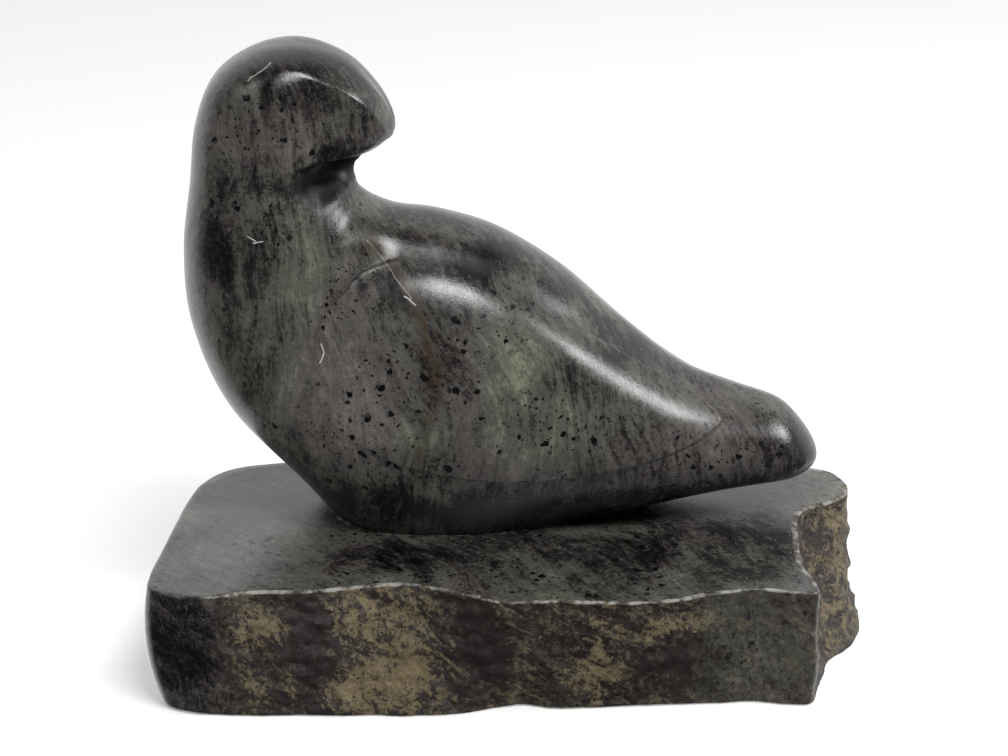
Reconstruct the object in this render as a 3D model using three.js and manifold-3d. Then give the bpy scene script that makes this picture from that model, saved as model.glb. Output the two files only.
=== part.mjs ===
// A resting bird carved with its base from one block of soapstone. Units are millimetres and +Z is up.
// The bird lies along X with its breast at -X, its tail at +X and its head turned back over its shoulders,
// so the beak points along +X. The base is a slab with a flat polished top and broken sides, wider at the front (-Y).
import * as THREE from "three";
import { mergeVertices } from "three/addons/utils/BufferGeometryUtils.js";
import Module from "manifold-3d";

// Driving dimensions.
const BASE_HEIGHT = 44; // foot of the slab to its polished top
const BIRD_AXIS_Y = 38; // the bird's plane of symmetry, in the slab's own frame
const BIRD_RINGS = 64;
const BIRD_SEGMENTS = 44;
const BASE_SEGMENTS = 108;
const BASE_ROWS = 8;
const TOP_RINGS = 2;

// Catmull-Rom through four numbers, t from 0 to 1 between b and c.
function between(a, b, c, d, t) {
  const slopeB = (c - a) / 2;
  const slopeC = (d - b) / 2;
  const t2 = t * t;
  const t3 = t2 * t;
  return (2 * t3 - 3 * t2 + 1) * b + (t3 - 2 * t2 + t) * slopeB + (3 * t2 - 2 * t3) * c + (t3 - t2) * slopeC;
}

// Each row of numbers is one station. The value at place s runs smoothly through the rows.
function along(rows, s, closed = false) {
  const count = rows.length;
  const last = closed ? count : count - 1;
  const i = Math.min(Math.floor(s), last - 1);
  const pick = (k) => rows[closed ? ((k % count) + count) % count : Math.min(Math.max(k, 0), count - 1)];
  const [a, b, c, d] = [pick(i - 1), pick(i), pick(i + 1), pick(i + 2)];
  return b.map((_, k) => between(a[k], b[k], c[k], d[k], s - i));
}

// The bird's ribs, from the tail round the breast and up the neck to the beak. A rib is a closed section in the plane
// of Y and of the line from its dorsal point to its ventral point:
// dorsal x, z, ventral x, z, half width, place of the widest point from dorsal 0 to ventral 1, and how square the
// dorsal and ventral halves are, where 2 is an ellipse.
const RIBS = [
  [108.5, 70, 110.5, 56, 12, 0.5, 1.8, 2.1], // tail end
  [96, 81.5, 97, 53, 18, 0.5, 1.7, 2.1],
  [80, 87.5, 80, 50.5, 23, 0.5, 1.7, 2.0],
  [62, 95, 62, 47.5, 29, 0.52, 1.8, 2.0], // tail root
  [42, 110.5, 42, 43, 35, 0.54, 1.9, 2.0],
  [20, 130, 20, 38, 39.5, 0.53, 2.0, 2.0], // rump
  [-2, 144, -2, 27, 42, 0.5, 2.0, 2.0],
  [-22, 150.5, -22, 25, 42.5, 0.5, 2.0, 2.1], // shoulders
  [-36, 152.5, -46, 28, 41, 0.5, 2.0, 2.1],
  [-44, 155.5, -70, 54, 38, 0.52, 2.0, 2.1], // breast
  [-48, 158.5, -95, 82, 35, 0.54, 2.0, 2.1],
  [-49.5, 161, -107, 112, 33, 0.55, 2.0, 2.1],
  [-50, 163, -109, 138, 30, 0.54, 2.0, 2.0],
  [-50.5, 165, -106, 162, 27, 0.5, 1.8, 2.0], // neck
  [-50.5, 167, -103.5, 182, 26.5, 0.42, 1.5, 2.2],
  [-50, 168.5, -97, 198, 27, 0.34, 1.35, 2.5], // back of the head
  [-49, 169.5, -84, 207.3, 27.5, 0.28, 1.3, 2.6],
  [-47.5, 170.5, -68, 210, 27, 0.25, 1.3, 2.6], // crown
  [-45, 171.5, -52.7, 205.2, 24, 0.24, 1.3, 2.6],
  [-42.5, 172.8, -43.3, 195.5, 17, 0.26, 1.4, 2.7],
  [-40, 174.3, -38.6, 186.5, 9.5, 0.3, 1.6, 2.7], // beak
  [-38.3, 175.8, -37, 179, 3.5, 0.4, 2.0, 2.0],
];
const TAIL_ROUNDING = 0.9; // ribs over which the tail end closes
const BEAK_ROUNDING = 0.8;

// Seen from above, the head narrows towards the beak between these two places along X. Below the chin it doesn't.
const HEAD_WIDE_X = -80;
const HEAD_NARROW_X = -46;
const HEAD_NARROWING = 0.42;
const CHIN_LOW_Z = 166;
const CHIN_HIGH_Z = 178;

// How much of a rib is left where the body closes to a point at each end.
function fullness(s) {
  const tail = Math.min(s / TAIL_ROUNDING, 1);
  const beak = Math.min((RIBS.length - 1 - s) / BEAK_ROUNDING, 1);
  return Math.sqrt(1 - (1 - tail) ** 2) * Math.sqrt(1 - (1 - beak) ** 2);
}

// The folded wing's edge seen from the side, from its tip along the back, down the front and back along the flank:
// x, z, how far the wing stands up at its edge, and how deep the valley is that runs along the edge.
const WING = [
  [74.5, 82, 1.6, 0.8], // tip
  [67, 88, 1.8, 1.0],
  [57, 95, 1.6, 1.2],
  [46, 102.5, 1.2, 1.4],
  [34, 111.5, 0.7, 1.6],
  [19, 122.5, 0, 1.8],
  [2, 133.5, 0, 1.6],
  [-17, 141, 0, 1.2],
  [-34, 142, 0.2, 1.4],
  [-46, 139.5, 1.0, 2.6], // shoulder
  [-53, 133, 1.2, 3.0],
  [-59.5, 126, 0.9, 2.0],
  [-63, 117, 0.4, 0.8],
  [-64, 105, 0.2, 0.3],
  [-61, 94, 0.4, 0.4],
  [-53.5, 84.5, 0.7, 0.6],
  [-43, 78, 0.8, 0.6],
  [-27, 72, 0.6, 0.5],
  [-3, 68, 0.8, 0.5],
  [20, 68, 1.0, 0.5],
  [42, 71, 1.2, 0.6],
  [60, 75, 1.4, 0.7],
  [70, 78.5, 1.5, 0.7],
];
const WING_STEPS = 5; // straight pieces between two points of the wing's edge
const WING_LIP = 13; // how far in from its edge the wing rises
const WING_VALLEY = 5;
const WING_COVER = 0.05; // least height of the wing over the body
const WING_SPAN = 60; // half the width of the prism that cuts both wings out, more than the bird's
const SIDE_SHARE = 0.3; // the relief fades out on the back, within this share of the half width
const STEP = 0.01; // for slopes along and round the ribs

const wingEdge = [];
for (let k = 0; k < WING.length * WING_STEPS; k++) wingEdge.push(along(WING, k / WING_STEPS, true));

// The distance from (x, z) to the wing's edge, with the edge's height and valley at the nearest place.
function nearestEdge(x, z) {
  let best = { distance: Infinity, lip: 0, valley: 0 };
  for (let k = 0; k < wingEdge.length; k++) {
    const [ax, az, lipA, valleyA] = wingEdge[k];
    const [bx, bz, lipB, valleyB] = wingEdge[(k + 1) % wingEdge.length];
    const [ex, ez] = [bx - ax, bz - az];
    const t = Math.min(Math.max(((x - ax) * ex + (z - az) * ez) / (ex * ex + ez * ez), 0), 1);
    const distance = Math.hypot(x - ax - ex * t, z - az - ez * t);
    if (distance < best.distance) {
      best = { distance, lip: lipA + (lipB - lipA) * t, valley: valleyA + (valleyB - valleyA) * t };
    }
  }
  return best;
}

// How far the carving lifts the body's skin at (x, z): down into the valley along the wing's edge.
function bodyRelief(x, z) {
  const { distance, valley } = nearestEdge(x, z);
  return -valley * Math.exp(-((distance / WING_VALLEY) ** 2));
}

// The same for the wing's skin, which stands over the body's.
function wingRelief(x, z) {
  const { distance, lip } = nearestEdge(x, z);
  return bodyRelief(x, z) + WING_COVER + Math.max(lip, 0) * Math.exp(-distance / WING_LIP);
}

// The point of the bird's bare form at rib place s and angle theta, where theta 0 is ventral and PI / 2 is the front side.
function form(s, theta) {
  const [dx, dz, vx, vz, half, wide, squareTop, squareLow] = along(RIBS, s);
  const c = Math.cos(theta);
  const lower = c >= 0;
  const power = 2 / (lower ? squareLow : squareTop);
  const full = fullness(s);
  const reach = Math.abs(c) ** power * full;
  const side = Math.sign(Math.sin(theta)) * Math.abs(Math.sin(theta)) ** power * full;
  const place = lower ? wide + (1 - wide) * reach : wide * (1 - reach);
  const [x, z] = [dx + (vx - dx) * place, dz + (vz - dz) * place];
  const forward = THREE.MathUtils.smoothstep(x, HEAD_WIDE_X, HEAD_NARROW_X);
  const upward = THREE.MathUtils.smoothstep(z, CHIN_LOW_Z, CHIN_HIGH_Z);
  return new THREE.Vector3(x, -half * side * (1 - HEAD_NARROWING * forward * upward), z);
}

// The bare form with a relief laid on it square to the surface, fading out along the middle of the back and belly.
function skin(s, theta, relief) {
  const point = form(s, theta);
  const half = along(RIBS, s)[4];
  const share = Math.min(Math.abs(point.y) / (half * SIDE_SHARE), 1);
  const alongRibs = form(Math.min(s + STEP, RIBS.length - 1), theta).sub(form(Math.max(s - STEP, 0), theta));
  const roundRib = form(s, theta + STEP).sub(form(s, theta - STEP));
  const outward = roundRib.cross(alongRibs).normalize();
  return point.addScaledVector(outward, share * relief(point.x, point.z));
}

// Place along the ribs of mesh ring j: evenly spaced, and closer together at both ends.
function ringPlace(j) {
  const t = j / BIRD_RINGS;
  const eased = t - Math.sin(2 * Math.PI * t) / (2 * Math.PI);
  return (RIBS.length - 1) * (0.75 * t + 0.25 * eased);
}

// A closed mesh from rings of points with a pole at each end. Every ring has the same number of points.
function closedSkin(startPole, rings, endPole) {
  const n = rings[0].length;
  const points = [startPole, ...rings.flat(), endPole];
  const index = [];
  for (let k = 0; k < n; k++) {
    const next = (k + 1) % n;
    index.push(0, 1 + next, 1 + k);
    for (let j = 0; j + 1 < rings.length; j++) {
      const a = 1 + j * n;
      index.push(a + k, a + next, a + n + next, a + k, a + n + next, a + n + k);
    }
    const lastRing = 1 + (rings.length - 1) * n;
    index.push(points.length - 1, lastRing + k, lastRing + next);
  }
  const geometry = new THREE.BufferGeometry().setFromPoints(points);
  geometry.setIndex(index);
  return geometry;
}

// The whole bird's skin with the given relief.
function birdGeometry(relief) {
  const rings = [];
  for (let j = 1; j < BIRD_RINGS; j++) {
    const s = ringPlace(j);
    const ring = [];
    for (let k = 0; k < BIRD_SEGMENTS; k++) ring.push(skin(s, (2 * Math.PI * k) / BIRD_SEGMENTS, relief));
    rings.push(ring);
  }
  return closedSkin(skin(0, 0, relief), rings, skin(RIBS.length - 1, 0, relief)).translate(0, BIRD_AXIS_Y, 0);
}

// A prism across the bird with the wing's edge as its outline. It cuts both wings out of the wing's skin.
function wingPrism() {
  const outline = new THREE.Shape(wingEdge.map(([x, z]) => new THREE.Vector2(x, z)));
  const prism = new THREE.ExtrudeGeometry(outline, { depth: 2 * WING_SPAN, bevelEnabled: false });
  return prism.translate(0, 0, -WING_SPAN).rotateX(Math.PI / 2).translate(0, BIRD_AXIS_Y, 0);
}

// The slab's posts, anticlockwise seen from above from the front left corner:
// top x, y, foot x, y, and how far the face bulges between them.
const POSTS = [
  [-117, -34, -113, -35, 3],
  [-108, -40, -104, -40, 2],
  [-98, -41, -97, -41, 1],
  [-84, -37.5, -84, -42, 1],
  [-67, -37, -67, -42, 1],
  [-53, -34.5, -52, -42, 1],
  [-39, -31.5, -38, -42, 1],
  [-28, -32, -26, -42, 1],
  [-17, -37, -16, -41, 0],
  [-3, -44, -5, -37, 0],
  [6, -45, 6, -34.5, 0],
  [18, -44, 17, -37, 0],
  [31, -45.5, 31, -36, 0],
  [44, -46, 45, -35, 0],
  [58, -43, 59, -34, 0],
  [71, -38, 72, -33, 0],
  [85, -35, 84, -32, -1],
  [97, -37, 95, -34, -1],
  [103, -36, 103, -33, 0],
  [102, -26, 108, -22, 0],
  [100.5, -14, 110, -12, 0],
  [101, 3, 113, -2, -2],
  [103.5, 26, 120, 6, -3],
  [115, 34.5, 124, 15, -3],
  [122, 44, 126.5, 29, -2],
  [121, 56, 124, 50, 0],
  [112, 65.5, 114, 65, 1],
  [85, 71.5, 86, 72, 1],
  [50, 76, 50, 76, 0],
  [15, 78, 15, 78, 0],
  [-20, 77.5, -20, 77.5, 0],
  [-55, 74, -55, 74, 0],
  [-82, 69.5, -82, 70, 1],
  [-98, 64, -97, 64, 1],
  [-107, 53, -105, 53, 2],
  [-111, 37, -109, 37, 2],
  [-113.5, 18, -111, 18, 2],
  [-116, -5, -113, -5, 3],
  [-118, -23, -115, -23, 3],
];
const EDGE_ROUNDING = 1.6;
const SLAB_CENTRE = new THREE.Vector2(0, 15);

// The slab's outline at height share h, from foot 0 to top 1.
function outline(u, h) {
  const [tx, ty, fx, fy, belly] = along(POSTS, u, true);
  const [ax, ay] = along(POSTS, (u + POSTS.length - 0.05) % POSTS.length, true);
  const [bx, by] = along(POSTS, (u + 0.05) % POSTS.length, true);
  const outward = new THREE.Vector2(by - ay, ax - bx).normalize();
  const z = h * BASE_HEIGHT;
  const toEdge = Math.min(z, BASE_HEIGHT - z);
  const short = Math.max(EDGE_ROUNDING - toEdge, 0);
  const inset = EDGE_ROUNDING - Math.sqrt(EDGE_ROUNDING ** 2 - short ** 2);
  return new THREE.Vector2(fx + (tx - fx) * h, fy + (ty - fy) * h).addScaledVector(outward, belly * 4 * h * (1 - h) - inset);
}

function baseGeometry() {
  const rings = [];
  const heights = [];
  for (let j = 0; j <= BASE_ROWS; j++) heights.push((1 - Math.cos((Math.PI * j) / BASE_ROWS)) / 2);
  const place = (k) => (POSTS.length * k) / BASE_SEGMENTS;
  for (const h of heights) {
    const ring = [];
    for (let k = 0; k < BASE_SEGMENTS; k++) {
      const p = outline(place(k), h);
      ring.push(new THREE.Vector3(p.x, p.y, h * BASE_HEIGHT));
    }
    rings.push(ring);
  }
  const edge = rings[rings.length - 1];
  for (let j = 1; j < TOP_RINGS; j++) {
    const centre = new THREE.Vector3(SLAB_CENTRE.x, SLAB_CENTRE.y, BASE_HEIGHT);
    rings.push(edge.map((p) => p.clone().lerp(centre, j / TOP_RINGS)));
  }
  const pole = (z) => new THREE.Vector3(SLAB_CENTRE.x, SLAB_CENTRE.y, z);
  return closedSkin(pole(0), rings, pole(BASE_HEIGHT));
}

const wasm = await Module();
wasm.setup();

function toSolid(geometry) {
  const bare = new THREE.BufferGeometry();
  bare.setAttribute("position", geometry.attributes.position);
  bare.setIndex(geometry.index);
  const merged = mergeVertices(bare, 1e-3);
  return new wasm.Manifold(
    new wasm.Mesh({
      numProp: 3,
      vertProperties: merged.attributes.position.array,
      triVerts: new Uint32Array(merged.index.array),
    }),
  );
}

function toGeometry(solid) {
  const mesh = solid.getMesh();
  const geometry = new THREE.BufferGeometry();
  geometry.setAttribute("position", new THREE.BufferAttribute(mesh.vertProperties, 3));
  geometry.setIndex(new THREE.BufferAttribute(mesh.triVerts, 1));
  return geometry;
}

const wings = toSolid(birdGeometry(wingRelief)).intersect(toSolid(wingPrism()));
const bird = toSolid(birdGeometry(bodyRelief)).add(wings);
const carving = toGeometry(toSolid(baseGeometry()).add(bird));
const stone = new THREE.MeshStandardMaterial({ color: 0x3d413a, roughness: 0.35, metalness: 0 });
const mesh = new THREE.Mesh(carving, stone);
mesh.name = "bird_on_base";

carving.computeBoundingBox();
const middle = carving.boundingBox.getCenter(new THREE.Vector3());
mesh.position.set(-middle.x, -middle.y, 0);

const group = new THREE.Group();
group.add(mesh);
export default group;
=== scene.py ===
"""A resting bird and its base, carved from one block of dark soapstone."""

import logging
import math
from dataclasses import dataclass, field
from enum import Enum

import bpy
import numpy as np
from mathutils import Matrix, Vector, noise


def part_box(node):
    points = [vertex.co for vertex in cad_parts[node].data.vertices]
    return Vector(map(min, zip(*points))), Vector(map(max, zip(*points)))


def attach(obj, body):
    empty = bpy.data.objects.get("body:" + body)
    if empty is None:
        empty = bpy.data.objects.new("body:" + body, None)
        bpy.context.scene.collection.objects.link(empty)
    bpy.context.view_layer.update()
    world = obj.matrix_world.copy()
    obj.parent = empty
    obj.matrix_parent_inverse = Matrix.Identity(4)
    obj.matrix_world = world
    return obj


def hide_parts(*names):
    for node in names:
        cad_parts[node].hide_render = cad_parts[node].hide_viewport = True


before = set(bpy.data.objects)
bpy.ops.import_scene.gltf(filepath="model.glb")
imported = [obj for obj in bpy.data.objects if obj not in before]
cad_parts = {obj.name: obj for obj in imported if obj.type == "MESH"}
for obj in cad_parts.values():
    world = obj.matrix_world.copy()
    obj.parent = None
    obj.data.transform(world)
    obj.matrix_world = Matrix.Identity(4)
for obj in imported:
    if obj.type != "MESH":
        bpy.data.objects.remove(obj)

log = logging.getLogger("carving")

MM = 0.001
CAD_NODE = "bird_on_base"
TOUCH = 0.02  # how near to the slab's top a point counts as on it, in millimetres


class Mask(Enum):
    """The values painted on the carving's points for its finish to read."""

    BROKEN = "broken"  # 1 where the slab was left as it broke, 0 where it was polished
    TONE_AND_SHADE = "tone"  # above 0 where the stone is paler, below where it is darker; it also holds painted shade and painted reflections
    GREEN = "green"  # above 0 where the stone is greener, below where it is more violet
    GOLD = "gold"  # where the broken stone is ochre
    VEIN = "vein"  # the rusty vein across the wing
    SATIN = "satin"  # where the polish is thin
    SCORE = "score"  # chalky lines scored or rubbed into the wax


def smooth_rows(rows: np.ndarray, place: np.ndarray, closed: bool = False) -> np.ndarray:
    """Runs a smooth curve through rows of numbers.

    Args:
        rows: One row of numbers for each station.
        place: Where to read the curve, in stations from 0.
        closed: True if the last station is followed by the first.

    Returns:
        One row for each place.
    """
    count = len(rows)
    last = count if closed else count - 1
    start = np.clip(np.floor(place).astype(int), 0, last - 1)
    t = (place - start)[:, None]

    def pick(step: int) -> np.ndarray:
        """The rows that many stations on from the start."""
        index = start + step
        return rows[index % count if closed else np.clip(index, 0, count - 1)]

    before, here, there, after = pick(-1), pick(0), pick(1), pick(2)
    slope_here = (there - before) / 2
    slope_there = (after - here) / 2
    t2, t3 = t * t, t * t * t
    return (
        (2 * t3 - 3 * t2 + 1) * here
        + (t3 - 2 * t2 + t) * slope_here
        + (3 * t2 - 2 * t3) * there
        + (t3 - t2) * slope_there
    )


def smooth_step(value: np.ndarray, low: float, high: float) -> np.ndarray:
    """0 at low, 1 at high and eased between them."""
    t = np.clip((value - low) / (high - low), 0, 1)
    return t * t * (3 - 2 * t)


def path_distance(points: np.ndarray, path: np.ndarray) -> tuple[np.ndarray, np.ndarray]:
    """Measures from points to the nearest place on a path of straight pieces.

    Args:
        points: N rows of coordinates.
        path: M rows, whose first columns are coordinates.

    Returns:
        The distances, and the nearest places' rows with all of the path's columns.
    """
    width = points.shape[1]
    best = np.full(len(points), np.inf)
    rows = np.zeros((len(points), path.shape[1]))
    for a, b in zip(path[:-1], path[1:]):
        edge = b[:width] - a[:width]
        t = np.clip((points - a[:width]) @ edge / max(edge @ edge, 1e-12), 0, 1)
        gap = np.linalg.norm(points - a[:width] - t[:, None] * edge, axis=1)
        closer = gap < best
        best[closer] = gap[closer]
        rows[closer] = a + t[closer, None] * (b - a)
    return best, rows


def inside(points: np.ndarray, path: np.ndarray) -> np.ndarray:
    """True for each of N flat points that a closed path goes round."""
    crossed = np.zeros(len(points), bool)
    x, z = points.T
    for a, b in zip(path[:-1], path[1:]):
        spans = (a[1] > z) != (b[1] > z)
        rise = b[1] - a[1] if b[1] != a[1] else 1e-12
        crossed ^= spans & (x < (b[0] - a[0]) * (z - a[1]) / rise + a[0])
    return crossed


def roughness_at(points: np.ndarray, scale: Vector, octaves: int = 4) -> np.ndarray:
    """Fractal noise at points in millimetres, where scale is the size of its grain along each axis."""
    place = points / np.array(scale)
    return np.array([noise.fractal(Vector(p), 1.0, 2.1, octaves) for p in place])


def cells_at(points: np.ndarray, scale: Vector) -> np.ndarray:
    """Distance to the nearest cell centre and to the next, at points in millimetres, one row each."""
    place = points / np.array(scale)
    return np.array([noise.voronoi(Vector(p))[0][:2] for p in place])


def mesh_points(piece: bpy.types.Object) -> np.ndarray:
    """The places of a mesh's points, one row each."""
    places = np.empty(len(piece.data.vertices) * 3)
    piece.data.vertices.foreach_get("co", places)
    return places.reshape(-1, 3)


def set_points(piece: bpy.types.Object, places: np.ndarray) -> None:
    """Moves a mesh's points."""
    piece.data.vertices.foreach_set("co", places.ravel())
    piece.data.update()


def face_centres(piece: bpy.types.Object) -> np.ndarray:
    """The centres of a mesh's faces, one row each."""
    centres = np.empty(len(piece.data.polygons) * 3)
    piece.data.polygons.foreach_get("center", centres)
    return centres.reshape(-1, 3)


def subdivide_faces(piece: bpy.types.Object, chosen: np.ndarray) -> None:
    """Cuts the chosen faces in four."""
    bpy.context.view_layer.objects.active = piece
    bpy.context.tool_settings.mesh_select_mode = (False, False, True)
    bpy.ops.object.mode_set(mode="EDIT")
    bpy.ops.mesh.select_all(action="DESELECT")
    bpy.ops.object.mode_set(mode="OBJECT")
    piece.data.polygons.foreach_set("select", chosen)
    bpy.ops.object.mode_set(mode="EDIT")
    bpy.ops.mesh.subdivide(number_cuts=1, ngon=False)
    bpy.ops.object.mode_set(mode="OBJECT")


def close_skin(piece: bpy.types.Object) -> None:
    """Merges doubled points and turns every face outwards."""
    bpy.context.view_layer.objects.active = piece
    bpy.ops.object.mode_set(mode="EDIT")
    bpy.ops.mesh.select_all(action="SELECT")
    bpy.ops.mesh.remove_doubles(threshold=1e-6)
    bpy.ops.mesh.normals_make_consistent(inside=False)
    bpy.ops.object.mode_set(mode="OBJECT")


def paint(piece: bpy.types.Object, mask: Mask, values: np.ndarray) -> None:
    """Writes one value for each point into the mask's layer."""
    layer = piece.data.attributes.get(mask.value)
    if layer is None:
        layer = piece.data.attributes.new(mask.value, "FLOAT", "POINT")
    layer.data.foreach_set("value", values.astype(np.float32))


class Face(Enum):
    """The ways a patch of colour is laid on the carving."""

    SIDE = "side"  # through the bird from side to side, placed by x and z
    TOP = "top"  # on the slab's polished top, placed by x and y
    FRONT = "front"  # on the slab's sides, placed by x and z


@dataclass(frozen=True)
class Daub:
    """A soft-edged patch of the stone's own colour, of painted shade or of painted reflection: its middle,
    two half sizes and amounts.
    """

    face: Face
    middle: tuple[float, float]
    size: tuple[float, float]
    tone: float = 0
    green: float = 0
    gold: float = 0
    satin: float = 0

    def amounts(self) -> dict[Mask, float]:
        """What the patch adds to each painted value."""
        return {Mask.TONE_AND_SHADE: self.tone, Mask.GREEN: self.green, Mask.GOLD: self.gold, Mask.SATIN: self.satin}

    def strength(self, points: np.ndarray, slab_height: float) -> np.ndarray:
        """How much of the patch each point has, from 0 to 1."""
        on_slab = points[:, 2] < slab_height + TOUCH
        on_top = on_slab & (points[:, 2] > slab_height - TOUCH)
        here = {Face.SIDE: ~on_slab, Face.TOP: on_top, Face.FRONT: on_slab & ~on_top}[self.face]
        second = points[:, 1] if self.face is Face.TOP else points[:, 2]
        across = (points[:, 0] - self.middle[0]) / self.size[0]
        along = (second - self.middle[1]) / self.size[1]
        return np.where(here, np.exp(-(across**2) - along**2), 0)


class Profile(Enum):
    """The shapes that a chisel stroke leaves across its path."""

    CREST = "crest"  # standing up along the path, with straight slopes
    UNDERCUT = "undercut"  # cut in on the path's right-hand side only, steeply and then fading


@dataclass(frozen=True)
class Stroke:
    """One stroke of the chisel on both of the bird's sides.

    Each row of the path is x, z and how deep or high the stroke is there, in millimetres.
    """

    profile: Profile
    path: tuple
    crisp: float
    reach: float

    def lift(self, flat: np.ndarray) -> np.ndarray:
        """How far the stroke lifts the skin at each row of x and z."""
        gap, rows, right = self.nearest(flat)
        size = rows[:, 2]
        if self.profile is Profile.CREST:
            rounded = np.sqrt(gap**2 + self.crisp**2) - self.crisp
            return size * np.maximum(1 - rounded / self.reach, 0) ** 1.5
        depth = (1 - np.exp(-gap / self.crisp)) * np.exp(-((gap / self.reach) ** 2))
        return np.where(right, -size * depth, 0)

    def nearest(self, flat: np.ndarray) -> tuple[np.ndarray, np.ndarray, np.ndarray]:
        """Measures rows of x and z against the path.

        Args:
            flat: N rows of x and z.

        Returns:
            The distances, the path's rows there, and whether each lies on the right-hand side.
        """
        rough_path = np.array(self.path, float)
        place = np.linspace(0, len(rough_path) - 1, (len(rough_path) - 1) * 5 + 1)
        path = smooth_rows(rough_path, place)
        gap, rows = path_distance(flat, np.hstack([path, np.gradient(path[:, :2], axis=0)]))
        off, way = flat - rows[:, :2], rows[:, 3:]
        return gap, rows, way[:, 0] * off[:, 1] - way[:, 1] * off[:, 0] < 0


@dataclass
class Wing:
    """The folded wing's outline seen from the side, and its relief.

    Each row of the outline is x, z, how far the wing stands up at its edge, and how deep its valley is.
    """

    outline: tuple = (
        (74.5, 82, 1.6, 0.8),  # tip
        (67, 88, 1.8, 1.0),
        (57, 95, 1.6, 1.2),
        (46, 102.5, 1.2, 1.4),
        (34, 111.5, 0.7, 1.6),
        (19, 122.5, 0, 1.8),
        (2, 133.5, 0, 1.6),
        (-17, 141, 0, 1.2),
        (-34, 142, 0.2, 1.4),
        (-46, 139.5, 1.6, 3.4),  # shoulder
        (-53, 133, 2.0, 3.6),
        (-59.5, 126, 1.4, 2.4),
        (-63, 117, 0.4, 0.8),
        (-64, 105, 0.2, 0.3),
        (-61, 94, 0.4, 0.4),
        (-53.5, 84.5, 0.7, 0.6),
        (-43, 78, 0.8, 0.6),
        (-27, 72, 0.6, 0.5),
        (-3, 68, 0.8, 0.5),
        (20, 68, 1.0, 0.5),
        (42, 71, 1.2, 0.6),
        (60, 75, 1.4, 0.7),
        (70, 78.5, 1.5, 0.7),
    )
    steps: int = 6
    lip_reach: float = 13
    valley_reach: float = 5
    edge_width: float = 0.5

    def path(self) -> np.ndarray:
        """The outline as a closed path of short straight pieces."""
        rows = np.array(self.outline, float)
        place = np.arange(len(rows) * self.steps + 1) / self.steps
        place[-1] = 0
        return smooth_rows(rows, place, closed=True)

    def relief(self, flat: np.ndarray) -> np.ndarray:
        """How far the carving lifts the bird's skin.

        Args:
            flat: N rows of x and z.

        Returns:
            One height in millimetres for each row, below zero in a valley.
        """
        path = self.path()
        gap, rows = path_distance(flat, path)
        signed = np.where(inside(flat, path), gap, -gap)
        lip, valley = np.maximum(rows[:, 2], 0), rows[:, 3]
        raised = smooth_step(signed, -self.edge_width / 2, self.edge_width / 2)
        down = valley * np.exp(-((gap / self.valley_reach) ** 2))
        return raised * lip * np.exp(-gap / self.lip_reach) - down


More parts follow.
